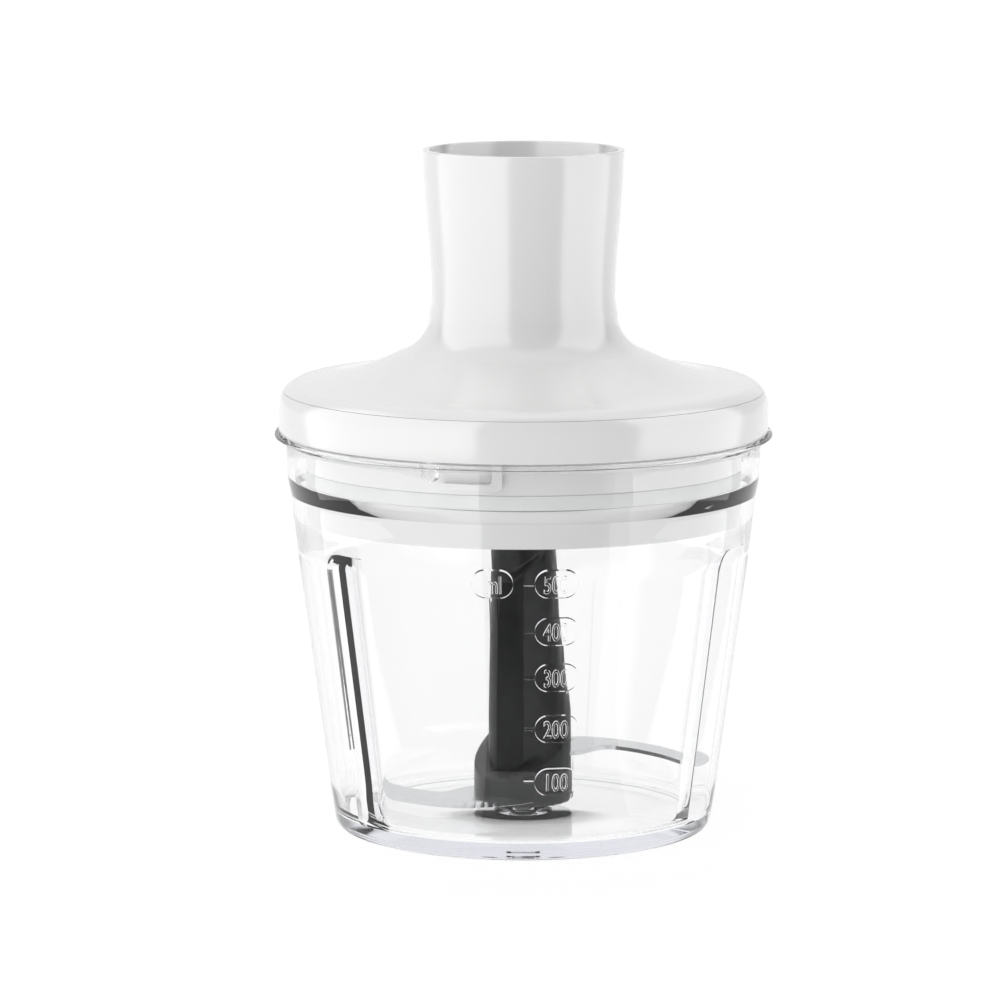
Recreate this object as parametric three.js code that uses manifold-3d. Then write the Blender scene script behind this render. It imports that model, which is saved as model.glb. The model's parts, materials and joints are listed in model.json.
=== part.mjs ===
// Food processor bowl with a geared lid: clear bowl, blade column on a spindle,
// white lid with an open neck for the motor handle, planetary reduction inside.
// Millimetres, +Z up, origin at the bottom centre of the bowl, front towards -Y.
// An azimuth is measured from the front (-Y) towards +X, in degrees.

import * as THREE from 'three';
import { mergeVertices } from 'three/addons/utils/BufferGeometryUtils.js';
import Module from 'manifold-3d';

const wasm = await Module();
wasm.setup();

// ---- driving dimensions ------------------------------------------------

const GAP = 0.3; // between pieces that touch
const FINE = 40; // segments of the large round pieces
const ROUND = 32;
const SMALL = 20;
const TINY = 16;

const bowlShape = {
  footInner: 44,
  footOuter: 48.2,
  footDepth: 1.2,
  baseR: 49.35, // outer radius of the wall's cone at z = 0
  taper: 0.134, // outer radius gained per mm of height
  wall: 2.1,
  floorTop: 4.5,
  stepLow: 84,
  stepHigh: 90,
  collarLow: 61.6,
  collarHigh: 62.1,
  collarIn: 59.6,
  mouthIn: 59.9,
  flangeR: 65,
  flangeLow: 101.9,
  flangeTop: 104,
  flangeRound: 0.4,
  bossR: 6.6,
  bossTop: 10,
};

const rib = { count: 3, azimuth: 60, spread: 16, depth: 2.6, top: 76, archStart: 70, steps: 5 };

const lug = { azFrom: -25.1, azTo: -21.4, inner: 57.3, low: 98.8, high: 104, count: 3 };

const spindle = { r: 3, low: 2.7, top: 37.6, tip: 1 };

const hubShape = {
  low: 6.3,
  cavityR: 7.3,
  cavityTop: 11.6,
  boreR: 5.8,
  boreTop: 38.3,
  neckR: 8.3,
  neckTop: 84,
  dogCore: 5.5,
  dogR: 8.2,
  dogTop: 94,
  dogHalf: 12, // half width of a driving dog, degrees
  scoopR: 30,
  scoopX: 6,
  scoopDepth: 7.6, // how far in front of the axis the scoop's face stays
  scoopLow: 30,
  scoopHigh: 66,
};

const bush = { outer: 5.5, lowFrom: 11.9, lowTo: 19, highFrom: 30, highTo: 37 };

const blade = { thick: 1.2, upperZ: 18.4, lowerZ: 7.8, lowerScale: 0.985, upperTang: 7.2, lowerTang: 8.6 };

const lidShape = {
  skirtR: 63.9,
  skirtLow: 104.3,
  shoulderR: 5.9,
  shoulderX: 58,
  shoulderZ: 111.5,
  splitZ: 115,
  slope: 0.282,
  bow: 1.5,
  filletR: 10.9,
  waistR: 24.54,
  waistZ: 135.3,
  neckTopR: 26.24,
  neckTopZ: 177.84,
  neckIn: 24.55,
  wall: 2,
  neckFloorLow: 126.5,
  neckFloorTop: 128.5,
  neckHole: 10.5,
};

const plug = {
  r: 56.5,
  inner: 53.6,
  low: 82,
  floorLow: 83.6,
  floorTop: 86,
  shelfTop: 106.3,
  ringIn: 60.2,
  grooveR: 55,
  grooveLow: 91,
  grooveHigh: 95.7,
};

const hook = {
  azFrom: -20.8,
  azTo: -4.9,
  stopWidth: 3,
  reach: 58.9,
  root: 56.2,
  barLow: 97,
  barHigh: 98.8,
  count: 3,
};

const gears = { module: 1, sun: 12, planet: 18, ring: 48, addendum: 0.8, dedendum: 1.15, thin: 0.24, flank: 0.4 };

const gearbox = {
  orbit: (gears.module * (gears.sun + gears.planet)) / 2,
  low: 101,
  high: 111,
  planetHigh: 110.6,
  carrierR: 19.5,
  carrierLow: 97.3,
  carrierHigh: 100.1,
  plateLow: 111,
  plateHigh: 113,
  ringOuter: 27.5,
  wellR: 27.8,
  wellOuter: 30,
  ledgeR: 25.6,
  ledgeZ: 100.7,
  wellTop: 114,
  footThick: 2,
  tubeIn: 14.3,
  tubeOut: 16.3,
  tubeTop: 96.4,
  keyHalf: 2,
  keyReach: 28.8,
  keys: 3,
};

const socket = { low: 84.2, high: 97, outer: 11.5, inner: 8.6, dogIn: 6, dogLow: 87, roof: 95 };
const cap = { low: 114.3, high: 116.5, outer: 36.5, rimIn: 25.9, rimOut: 27.4, tubeR: 9, tubeTop: 122.7, boreR: 7 };
const screw = { count: 4, circle: 32.6, azimuth: 45, shankR: 1.2, headR: 2.8, low: 104, head: 1.8, boss: 3.6 };
const shaft = { r: 4.5, top: 134, grooveR: 3.9, grooveLow: 123.3, grooveHigh: 124.7 };
const coupling = { low: 129.2, high: 141, outer: 9, seat: 4.8, floor: 134.3, cup: 7, splines: 6, splineIn: 5.6 };

// ---- helpers -----------------------------------------------------------

const radians = (degrees) => (degrees * Math.PI) / 180;

// A point at a radius and an azimuth from the front.
const polar = (r, azimuth) => new THREE.Vector2(r * Math.sin(radians(azimuth)), -r * Math.cos(radians(azimuth)));

const pairs = (list) => list.map(([x, y]) => new THREE.Vector2(x, y));

// Turns a closed three.js geometry into a solid whose faces point out.
function solidOf(geometry) {
  const bare = new THREE.BufferGeometry();
  bare.setAttribute('position', geometry.getAttribute('position').clone());
  if (geometry.index) bare.setIndex(geometry.index.clone());
  const merged = mergeVertices(bare, 1e-4);
  const place = merged.getAttribute('position').array;
  const index = merged.index.array;
  const corner = [new THREE.Vector3(), new THREE.Vector3(), new THREE.Vector3()];
  const kept = [];
  let volume = 0;
  for (let i = 0; i < index.length; i += 3) {
    const [a, b, c] = [index[i], index[i + 1], index[i + 2]];
    if (a === b || b === c || c === a) continue;
    corner.forEach((v, k) => v.fromArray(place, 3 * index[i + k]));
    volume += corner[0].dot(corner[1].cross(corner[2]));
    kept.push([a, b, c]);
  }
  const facing = volume < 0 ? kept.map(([a, b, c]) => [a, c, b]) : kept;
  return new wasm.Manifold(
    new wasm.Mesh({
      numProp: 3,
      vertProperties: new Float32Array(place),
      triVerts: new Uint32Array(facing.flat()),
    }),
  );
}

// Revolves a closed outline of radius and height round +Z.
function revolve(outline, segments) {
  const profile = [...outline, outline[0].clone()];
  const geometry = new THREE.LatheGeometry(profile, segments);
  geometry.rotateX(Math.PI / 2);
  return solidOf(geometry);
}

// A straight prism on a plan outline, from one height to another.
function prism(outline, low, high) {
  const geometry = new THREE.ExtrudeGeometry(new THREE.Shape(outline), {
    depth: high - low,
    bevelEnabled: false,
  });
  geometry.translate(0, 0, low);
  return solidOf(geometry);
}

// A plain round disc or tube on the Z axis.
function tube(inner, outer, low, high, segments) {
  const outline = pairs([
    [inner, low],
    [outer, low],
    [outer, high],
    [inner, high],
  ]);
  return revolve(outline, segments);
}

// A block between two radii and two azimuths.
function sector(inner, outer, azFrom, azTo, low, high, steps = 3) {
  const outline = [];
  for (let i = 0; i <= steps; i++) outline.push(polar(outer, azFrom + ((azTo - azFrom) * i) / steps));
  for (let i = steps; i >= 0; i--) outline.push(polar(inner, azFrom + ((azTo - azFrom) * i) / steps));
  return prism(outline, low, high);
}

function spin(solid, degrees) {
  return solid.rotate([0, 0, degrees]);
}

// Joins or cuts evenly spaced copies of a piece.
function around(solid, piece, count, action) {
  let result = solid;
  for (let i = 0; i < count; i++) result = result[action](spin(piece, (360 * i) / count));
  return result;
}

function arc(cx, cy, r, from, to, steps) {
  const points = [];
  for (let i = 0; i <= steps; i++) {
    const angle = from + ((to - from) * i) / steps;
    points.push(new THREE.Vector2(cx + r * Math.sin(angle), cy + r * Math.cos(angle)));
  }
  return points;
}

// Moves every corner of an anticlockwise outline outwards by a distance.
function grow(outline, distance) {
  const count = outline.length;
  return outline.map((point, i) => {
    const before = outline[(i + count - 1) % count];
    const after = outline[(i + 1) % count];
    const along = after.clone().sub(before).normalize();
    return new THREE.Vector2(point.x + along.y * distance, point.y - along.x * distance);
  });
}

const object = new THREE.Group();

function addNode(name, solid, finish) {
  const mesh = solid.getMesh();
  const geometry = new THREE.BufferGeometry();
  geometry.setAttribute('position', new THREE.BufferAttribute(mesh.vertProperties, 3));
  geometry.setIndex(new THREE.BufferAttribute(mesh.triVerts, 1));
  geometry.computeVertexNormals();
  const node = new THREE.Mesh(geometry, new THREE.MeshStandardMaterial(finish));
  node.name = name;
  object.add(node);
}

const finishes = {
  clear: { color: 0xe6ebee, roughness: 0.06, metalness: 0, transparent: true, opacity: 0.35 },
  white: { color: 0xf2f2f0, roughness: 0.22, metalness: 0 },
  charcoal: { color: 0x2f3033, roughness: 0.38, metalness: 0 },
  steel: { color: 0xc9ccd0, roughness: 0.22, metalness: 1 },
  seal: { color: 0xdfe1e0, roughness: 0.6, metalness: 0 },
  acetal: { color: 0xe8e3d2, roughness: 0.45, metalness: 0 },
  bronze: { color: 0xa9793f, roughness: 0.4, metalness: 1 },
};

// ---- bowl --------------------------------------------------------------

const wallOuter = (z) => bowlShape.baseR + bowlShape.taper * z;
const wallInner = (z) => wallOuter(z) - bowlShape.wall;

// One ratchet rib: a sharp step at its first azimuth that fades along the wall,
// with a top that arches up to the far end.
function ribSolid() {
  const outline = [];
  for (let i = 0; i <= rib.steps; i++) outline.push(polar(1, rib.azimuth + (rib.spread * i) / rib.steps));
  const root = 1;
  const low = bowlShape.floorTop - 1;
  const corners = outline.map((direction, i) => {
    const part = i / rib.steps;
    const depth = rib.depth * (1 - part) ** 1.5;
    const top = rib.archStart + (rib.top - rib.archStart) * Math.sqrt(1 - (1 - part) ** 2);
    return { direction, depth, top };
  });
  const front = corners.map((c) => [c.direction.clone().multiplyScalar(-c.depth), c]);
  const back = corners.map((c) => [c.direction.clone().multiplyScalar(root), c]).reverse();
  const ring = [...front, ...back];
  const plan = ring.map(([offset, c]) => c.direction.clone().multiplyScalar(wallInner(low)).add(offset));
  const geometry = new THREE.ExtrudeGeometry(new THREE.Shape(plan), { depth: 1, bevelEnabled: false });
  const place = geometry.getAttribute('position');
  for (let i = 0; i < place.count; i++) {
    const x = place.getX(i);
    const y = place.getY(i);
    const nearest = plan.reduce((best, p, k) => {
      const distance = Math.hypot(p.x - x, p.y - y);
      return distance < best.distance ? { distance, k } : best;
    }, { distance: Infinity, k: 0 });
    const corner = ring[nearest.k][1];
    const z = place.getZ(i) > 0.5 ? corner.top : low;
    const push = bowlShape.taper * (z - low);
    place.setXYZ(i, x + corner.direction.x * push, y + corner.direction.y * push, z);
  }
  return solidOf(geometry);
}

function bowlSolid() {
  const b = bowlShape;
  const outline = pairs([
    [b.footInner, 0],
    [b.footOuter, 0],
    [wallOuter(1.6), 1.6],
    [wallOuter(b.stepLow), b.stepLow],
    [b.collarLow, b.stepHigh],
    [b.collarHigh, b.flangeLow],
    [b.flangeR - b.flangeRound, b.flangeLow],
    [b.flangeR, b.flangeLow + b.flangeRound],
    [b.flangeR, b.flangeTop - b.flangeRound],
    [b.flangeR - b.flangeRound, b.flangeTop],
    [b.mouthIn, b.flangeTop],
    [b.collarIn, b.stepHigh + 0.5],
    [wallInner(b.stepLow + 0.5), b.stepLow + 0.5],
    [wallInner(b.floorTop + 2), b.floorTop + 2],
    [wallInner(b.floorTop) - 1.6, b.floorTop],
    [b.bossR, b.floorTop],
    [b.bossR, b.bossTop],
    [spindle.r + GAP, b.bossTop],
    [spindle.r + GAP, spindle.low - GAP],
    [0, spindle.low - GAP],
    [0, b.footDepth],
    [b.footInner, b.footDepth],
  ]);
  const shell = revolve(outline, FINE);
  const ribbed = around(shell, ribSolid(), rib.count, 'add');
  const key = sector(lug.inner, b.mouthIn + 0.8, lug.azFrom, lug.azTo, lug.low, lug.high);
  return around(ribbed, key, lug.count, 'add');
}

function spindleSolid() {
  const outline = pairs([
    [0, spindle.low],
    [spindle.r, spindle.low],
    [spindle.r, spindle.top - spindle.tip],
    [spindle.r - spindle.tip, spindle.top],
    [0, spindle.top],
  ]);
  return revolve(outline, SMALL);
}

// ---- blade unit --------------------------------------------------------

// A sickle blade swept clockwise from the hub; its root wraps the bore.
function bladeOutline(tangR, reach) {
  const cutting = new THREE.SplineCurve(
    pairs([
      [-6, 10],
      [-2, 13.5],
      [6, 18.3],
      [17, 20.3],
      [29.5, 14.3],
      [39.7, 4.2],
      [45, -6.5],
    ]),
  ).getPoints(16);
  const tip = new THREE.QuadraticBezierCurve(...pairs([
    [45, -6.5],
    [44.6, -14.6],
    [40, -15],
  ])).getPoints(5);
  const spine = new THREE.SplineCurve(
    pairs([
      [40, -15],
      [35.4, -6],
      [27.5, 2],
      [21, 4.2],
      [15.5, -1.5],
      [11, -6.5],
    ]),
  ).getPoints(12);
  const tang = [];
  const tangFrom = radians(-32);
  const tangTo = radians(125);
  for (let i = 0; i <= 6; i++) {
    const angle = tangFrom + ((tangTo - tangFrom) * i) / 6;
    tang.push(new THREE.Vector2(tangR * Math.cos(angle), tangR * Math.sin(angle)));
  }
  const free = [...cutting, ...tip.slice(1), ...spine.slice(1)].map((p) => {
    const far = Math.hypot(p.x, p.y) > 20;
    return far ? p.clone().multiplyScalar(reach) : p;
  });
  return [...free, ...tang].reverse();
}

const upperPlan = bladeOutline(blade.upperTang, 1);
const lowerPlan = bladeOutline(blade.lowerTang, blade.lowerScale);

function bladeSolid(plan, low) {
  return prism(plan, low, low + blade.thick);
}

function bladeSlot(plan, low) {
  return prism(grow(plan, GAP), low - GAP, low + blade.thick + GAP);
}

function hubSolid() {
  const h = hubShape;
  const outline = pairs([
    [h.cavityR, h.low],
    [12.2, h.low],
    [12.9, h.low + 0.9],
    [12.9, 14],
    [11.6, 20],
    [10.6, 27],
    [9.4, 42],
    [h.neckR, 57],
    [h.neckR, h.neckTop],
    [h.dogCore, h.neckTop],
    [h.dogCore, h.dogTop - 1],
    [h.dogCore - 1, h.dogTop],
    [0, h.dogTop],
    [0, h.boreTop],
    [h.boreR, h.boreTop],
    [h.boreR, h.cavityTop],
    [h.cavityR, h.cavityTop],
  ]);
  const column = revolve(outline, SMALL);
  const dog = sector(h.dogCore - 1, h.dogR, -h.dogHalf, h.dogHalf, h.neckTop - 1, h.dogTop, 2);
  const driven = around(column, dog, 3, 'add');
  const scoop = tube(0, h.scoopR, h.scoopLow, h.scoopHigh, SMALL);
  const scooped = driven.subtract(scoop.translate([h.scoopX, -h.scoopR - h.scoopDepth, 0]));
  return scooped
    .subtract(bladeSlot(upperPlan, blade.upperZ))
    .subtract(spin(bladeSlot(lowerPlan, blade.lowerZ), 180));
}

// ---- lid shells --------------------------------------------------------

const filletX = lidShape.waistR + lidShape.filletR;

// The outside of the dome from the shoulder's split line up to the neck.
function domeOutside(offset) {
  const l = lidShape;
  const shoulderAt = l.splitZ + GAP / 2;
  const shoulderR = l.shoulderR - offset;
  const lowest = Math.acos(Math.min(1, (shoulderAt - l.shoulderZ) / shoulderR));
  const shoulder = arc(l.shoulderX, l.shoulderZ, shoulderR, lowest, l.slope, 3);
  const fillet = arc(filletX, l.waistZ, -(l.filletR + offset), l.slope, Math.PI / 2, 4);
  const start = shoulder[shoulder.length - 1];
  const end = fillet[0];
  const middle = start.clone().add(end).multiplyScalar(0.5);
  middle.y -= l.bow;
  return [...shoulder, middle, ...fillet];
}

function coverSolid() {
  const l = lidShape;
  const outside = domeOutside(0);
  const neckOutside = pairs([
    [23.95, 140],
    [24.5, 151.8],
    [25.5, 164.3],
    [l.neckTopR, l.neckTopZ],
  ]);
  const neckInside = pairs([
    [l.neckIn, l.neckTopZ],
    [23.6, 162],
    [22.3, 146],
    [22.2, l.neckFloorTop],
    [l.neckHole, l.neckFloorTop],
    [l.neckHole, l.neckFloorLow],
  ]);
  const inside = domeOutside(l.wall).reverse().filter((p) => p.y < l.neckFloorLow - 0.5);
  const meet = new THREE.Vector2(26, l.neckFloorLow);
  const spigot = pairs([
    [plug.ringIn - GAP - 1.6, inside[inside.length - 1].y],
    [plug.ringIn - GAP - 1.6, l.splitZ - 2.5],
    [plug.ringIn - GAP, l.splitZ - 2.5],
    [plug.ringIn - GAP, l.splitZ + GAP / 2],
  ]);
  const shellInside = inside.slice(0, -1);
  return revolve([...outside, ...neckOutside, ...neckInside, meet, ...shellInside, ...spigot], ROUND);
}

function lidBaseSolid() {
  const l = lidShape;
  const p = plug;
  const g = gearbox;
  const top = l.splitZ - GAP / 2;
  const crown = Math.acos((top - l.shoulderZ) / l.shoulderR);
  const shoulder = arc(l.shoulderX, l.shoulderZ, l.shoulderR, Math.PI / 2, crown, 2);
  const outline = [
    ...pairs([
      [g.tubeIn, p.floorLow],
      [p.inner, p.floorLow],
      [p.inner, p.low],
      [p.r - 0.3, p.low],
      [p.r, p.low + 0.3],
      [p.r, p.grooveLow],
      [p.grooveR, p.grooveLow],
      [p.grooveR, p.grooveHigh],
      [p.r, p.grooveHigh],
      [p.r, l.skirtLow],
      [l.skirtR, l.skirtLow],
    ]),
    ...shoulder,
    ...pairs([
      [p.ringIn, top],
      [p.ringIn, p.shelfTop],
      [p.inner, p.shelfTop],
      [p.inner, p.floorTop],
      [g.tubeOut, p.floorTop],
      [g.tubeOut, g.tubeTop],
      [g.tubeIn, g.tubeTop],
    ]),
  ];
  const shell = revolve(outline, ROUND);
  const bar = sector(hook.root, hook.reach, hook.azFrom, hook.azTo, hook.barLow, hook.barHigh, 4);
  const stopFrom = hook.azTo - hook.stopWidth;
  const stop = sector(hook.root, hook.reach, stopFrom, hook.azTo, hook.barLow, l.skirtLow + 1, 1);
  return around(shell, bar.add(stop), hook.count, 'add');
}

// The well that holds the gears, standing on the plug's floor round the tube.
function housingSolid() {
  const g = gearbox;
  const low = plug.floorTop + GAP;
  const outline = pairs([
    [g.tubeOut + GAP, low],
    [g.wellOuter, low],
    [g.wellOuter, g.wellTop],
    [g.wellR, g.wellTop],
    [g.wellR, g.ledgeZ],
    [g.ledgeR, g.ledgeZ],
    [g.ledgeR, low + g.footThick],
    [g.tubeOut + GAP, low + g.footThick],
  ]);
  const well = revolve(outline, ROUND);
  const [x, y] = polar(screw.circle, screw.azimuth).toArray();
  const boss = tube(0, screw.boss, low, g.wellTop, TINY).translate([x, y, 0]);
  const hole = tube(0, screw.shankR + GAP, screw.low - GAP, g.wellTop + 1, 12).translate([x, y, 0]);
  const inner = tube(0, g.wellR, low - 1, g.wellTop + 1, ROUND);
  const bossed = around(well, boss.subtract(inner), screw.count, 'add');
  const keyway = keyBlock(g.keyHalf + GAP, g.keyReach + GAP, g.ledgeZ, g.wellTop + 1);
  return around(around(bossed, hole, screw.count, 'subtract'), keyway, g.keys, 'subtract');
}

// A straight key that stands out of the ring gear or opens its keyway.
function keyBlock(half, reach, low, high) {
  const outline = pairs([
    [gearbox.ringOuter - 1, -half],
    [reach, -half],
    [reach, half],
    [gearbox.ringOuter - 1, half],
  ]);
  return prism(outline, low, high);
}

function sealSolid() {
  const p = plug;
  const low = p.grooveLow + GAP;
  const high = p.grooveHigh - GAP;
  const middle = (low + high) / 2;
  return revolve(
    pairs([
      [p.grooveR + 2 * GAP, low],
      [p.r + 0.1, low],
      [p.r + 0.4, low + 0.6],
      [p.r + 0.1, middle],
      [p.r + 0.4, high - 0.6],
      [p.r + 0.1, high],
      [p.grooveR + 2 * GAP, high],
    ]),
    ROUND,
  );
}

// ---- gearbox -----------------------------------------------------------

// A gear outline of straight-sided teeth; inward is 1 outside, -1 for a ring.
function toothOutline(teeth, side) {
  const g = gears;
  const pitchR = (g.module * teeth) / 2;
  const half = (Math.PI * g.module) / 4 - g.thin / 2;
  const tipR = pitchR + side * g.addendum;
  const rootR = pitchR - side * g.dedendum;
  const tipHalf = (half - g.addendum * g.flank) / tipR;
  const rootHalf = (half + g.dedendum * g.flank) / rootR;
  const points = [];
  for (let i = 0; i < teeth; i++) {
    const centre = (2 * Math.PI * i) / teeth;
    for (const [r, turn] of [
      [rootR, -rootHalf],
      [tipR, -tipHalf],
      [tipR, tipHalf],
      [rootR, rootHalf],
    ]) {
      points.push(new THREE.Vector2(r * Math.cos(centre + turn), r * Math.sin(centre + turn)));
    }
  }
  return points;
}

function gearSolid(teeth, low, high) {
  return prism(toothOutline(teeth, 1), low, high);
}

function ringSolid() {
  const g = gearbox;
  const blank = tube(0, g.ringOuter, g.low, g.high, FINE);
  const keyed = around(blank, keyBlock(g.keyHalf, g.keyReach, g.low, g.high - 2), g.keys, 'add');
  return keyed.subtract(prism(toothOutline(gears.ring, -1), g.low - 1, g.high + 1));
}

// The sun gear and its shaft in one piece, grooved for its circlip.
function sunSolid() {
  const outline = pairs([
    [0, gearbox.low],
    [shaft.r - 0.5, gearbox.low],
    [shaft.r, gearbox.low + 0.5],
    [shaft.r, shaft.grooveLow],
    [shaft.grooveR, shaft.grooveLow],
    [shaft.grooveR, shaft.grooveHigh],
    [shaft.r, shaft.grooveHigh],
    [shaft.r, shaft.top - 0.5],
    [shaft.r - 0.5, shaft.top],
    [0, shaft.top],
  ]);
  return revolve(outline, SMALL).add(gearSolid(gears.sun, gearbox.low, gearbox.planetHigh));
}

const planetPlace = (i) => [
  gearbox.orbit * Math.cos((2 * Math.PI * i) / 3),
  gearbox.orbit * Math.sin((2 * Math.PI * i) / 3),
  0,
];

const pinR = 2.5;
const pinHoleR = pinR + GAP;

// Each planet has a tooth gap facing the sun and another facing the ring.
function planetSolid(i) {
  const half = 180 / gears.planet;
  const toothed = spin(gearSolid(gears.planet, gearbox.low, gearbox.planetHigh), half);
  const bored = toothed.subtract(tube(0, pinHoleR, gearbox.low - 1, gearbox.high + 1, TINY));
  return spin(bored, 120 * i).translate(planetPlace(i));
}

function planetPinSolid(i) {
  const low = gearbox.carrierLow + 0.4;
  const high = gearbox.plateHigh - 0.4;
  return tube(0, pinR, low, high, TINY).translate(planetPlace(i));
}

function pinHoles(disc, low, high) {
  let result = disc;
  for (let i = 0; i < 3; i++) result = result.subtract(tube(0, pinHoleR, low, high, TINY).translate(planetPlace(i)));
  return result;
}

function carrierSolid() {
  const g = gearbox;
  const disc = tube(0, g.carrierR, g.carrierLow, g.carrierHigh, ROUND);
  const drilled = pinHoles(disc, g.carrierLow - 1, g.carrierHigh + 1);
  const post = sector(10.5, g.carrierR - 0.6, 20, 40, g.carrierHigh - 0.5, g.plateLow - GAP, 2);
  return around(drilled, post, 3, 'add');
}

function carrierPlateSolid() {
  const g = gearbox;
  const disc = tube(8, g.carrierR, g.plateLow, g.plateHigh, ROUND);
  return pinHoles(disc, g.plateLow - 1, g.plateHigh + 1);
}

// The driven socket under the carrier, with three dogs inside its mouth.
function socketSolid() {
  const s = socket;
  const outline = pairs([
    [s.inner, s.low],
    [s.outer - 0.5, s.low],
    [s.outer, s.low + 0.5],
    [s.outer, s.high],
    [0, s.high],
    [0, s.roof],
    [s.inner, s.roof],
  ]);
  const cup = revolve(outline, SMALL);
  const half = hubShape.dogHalf;
  const dog = sector(s.dogIn, s.inner + 1, 60 - half, 60 + half, s.dogLow, s.roof + 1, 2);
  return around(cup, dog, 3, 'add');
}

function capSolid() {
  const c = cap;
  const outline = pairs([
    [c.boreR, c.low],
    [c.rimIn, c.low],
    [c.rimIn, gearbox.high + GAP],
    [c.rimOut, gearbox.high + GAP],
    [c.rimOut, c.low],
    [c.outer, c.low],
    [c.outer, c.high],
    [c.tubeR, c.high],
    [c.tubeR, c.tubeTop],
    [c.boreR, c.tubeTop],
  ]);
  const plate = revolve(outline, ROUND);
  const [x, y] = polar(screw.circle, screw.azimuth).toArray();
  const hole = tube(0, screw.shankR + 2 * GAP, c.low - 1, c.high + 1, 12).translate([x, y, 0]);
  return around(plate, hole, screw.count, 'subtract');
}

function screwSolid(i) {
  const headLow = cap.high + GAP;
  const outline = pairs([
    [0, screw.low + 1],
    [screw.shankR, screw.low + 2],
    [screw.shankR, headLow],
    [screw.headR, headLow],
    [screw.headR, headLow + screw.head - 0.6],
    [screw.headR - 0.7, headLow + screw.head],
    [0, headLow + screw.head],
  ]);
  const [x, y] = polar(screw.circle, screw.azimuth + (360 * i) / screw.count).toArray();
  return revolve(outline, 12).translate([x, y, 0]);
}

// An open ring with a gap at the front, seated in the sun shaft's groove.
function circlipSolid() {
  const low = shaft.grooveLow + GAP;
  const high = shaft.grooveHigh - GAP;
  const ring = tube(shaft.grooveR + GAP, shaft.r + 2.2, low, high, SMALL);
  const mouth = prism(pairs([
    [-1.5, -9],
    [1.5, -9],
    [1.5, -2],
    [-1.5, -2],
  ]), low - 1, high + 1);
  return ring.subtract(mouth);
}

// The cup that takes the motor handle's drive, with splines inside its mouth.
function couplingSolid() {
  const c = coupling;
  const outline = pairs([
    [c.seat, c.low],
    [c.outer, c.low],
    [c.outer, c.high - 0.8],
    [c.outer - 0.8, c.high],
    [c.cup, c.high],
    [c.cup, c.floor],
    [c.seat, c.floor],
  ]);
  const cup = revolve(outline, SMALL);
  const spline = sector(c.splineIn, c.cup + 0.5, -6, 6, c.floor - 0.5, c.high - 1, 1);
  return around(cup, spline, c.splines, 'add');
}

// ---- assembly ----------------------------------------------------------

addNode('bowl', bowlSolid(), finishes.clear);
addNode('spindle_pin', spindleSolid(), finishes.steel);
addNode('thrust_washer', tube(spindle.r + GAP, bush.outer, 10.3, 11.3, SMALL), finishes.acetal);

addNode('blade_hub', hubSolid(), finishes.charcoal);
addNode('upper_blade', bladeSolid(upperPlan, blade.upperZ), finishes.steel);
addNode('lower_blade', spin(bladeSolid(lowerPlan, blade.lowerZ), 180), finishes.steel);
addNode('hub_bush_lower', tube(spindle.r + GAP, bush.outer, bush.lowFrom, bush.lowTo, SMALL), finishes.bronze);
addNode('hub_bush_upper', tube(spindle.r + GAP, bush.outer, bush.highFrom, bush.highTo, SMALL), finishes.bronze);

addNode('lid_seal', sealSolid(), finishes.seal);
addNode('lid_base', lidBaseSolid(), finishes.white);
addNode('lid_cover', coverSolid(), finishes.white);
addNode('gear_housing', housingSolid(), finishes.acetal);
addNode('gear_cover', capSolid(), finishes.acetal);
addNode('ring_gear', ringSolid(), finishes.acetal);
for (let i = 0; i < screw.count; i++) addNode(`cover_screw_${i + 1}`, screwSolid(i), finishes.steel);

const sealTop = 88;
const lidBushOuter = gearbox.tubeIn - GAP;
const lidBushInner = socket.outer + GAP;
addNode('output_seal', tube(lidBushInner, lidBushOuter, socket.low, sealTop, SMALL), finishes.seal);
addNode('output_bush', tube(lidBushInner, lidBushOuter, sealTop + GAP, gearbox.tubeTop, SMALL), finishes.bronze);
const inputBush = tube(shaft.r + GAP, cap.boreR - GAP, cap.low, cap.tubeTop, SMALL);
addNode('input_bush', inputBush, finishes.bronze);

addNode('output_socket', socketSolid(), finishes.charcoal);
addNode('planet_carrier', carrierSolid(), finishes.acetal);
addNode('carrier_plate', carrierPlateSolid(), finishes.steel);
for (let i = 0; i < 3; i++) {
  addNode(`planet_pin_${i + 1}`, planetPinSolid(i), finishes.steel);
  addNode(`planet_gear_${i + 1}`, planetSolid(i), finishes.acetal);
}

addNode('sun_gear_shaft', sunSolid(), finishes.steel);
addNode('sun_circlip', circlipSolid(), finishes.steel);
addNode('input_coupling', couplingSolid(), finishes.charcoal);

export default object;
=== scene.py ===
import json
import math

import bmesh
import bpy
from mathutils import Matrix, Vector


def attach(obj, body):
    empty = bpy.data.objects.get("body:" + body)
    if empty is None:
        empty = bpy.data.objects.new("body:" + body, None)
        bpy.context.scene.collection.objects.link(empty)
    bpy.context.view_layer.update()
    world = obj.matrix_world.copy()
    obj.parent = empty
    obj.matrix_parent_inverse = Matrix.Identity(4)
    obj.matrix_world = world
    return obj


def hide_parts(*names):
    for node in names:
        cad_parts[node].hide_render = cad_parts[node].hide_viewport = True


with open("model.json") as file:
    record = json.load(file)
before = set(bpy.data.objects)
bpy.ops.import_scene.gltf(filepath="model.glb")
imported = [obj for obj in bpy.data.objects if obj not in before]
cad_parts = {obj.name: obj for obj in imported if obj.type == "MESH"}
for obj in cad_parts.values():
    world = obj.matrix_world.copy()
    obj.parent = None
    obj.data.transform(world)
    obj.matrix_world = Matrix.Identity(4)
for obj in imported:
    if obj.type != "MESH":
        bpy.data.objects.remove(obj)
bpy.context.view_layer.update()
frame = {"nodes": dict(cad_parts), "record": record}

# A food processor bowl with its geared lid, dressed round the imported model.
# Shapes are written in millimetres and turned into metres by MM.
# An azimuth is measured in degrees from the front (-Y) towards +X.

MM = 0.001


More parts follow.
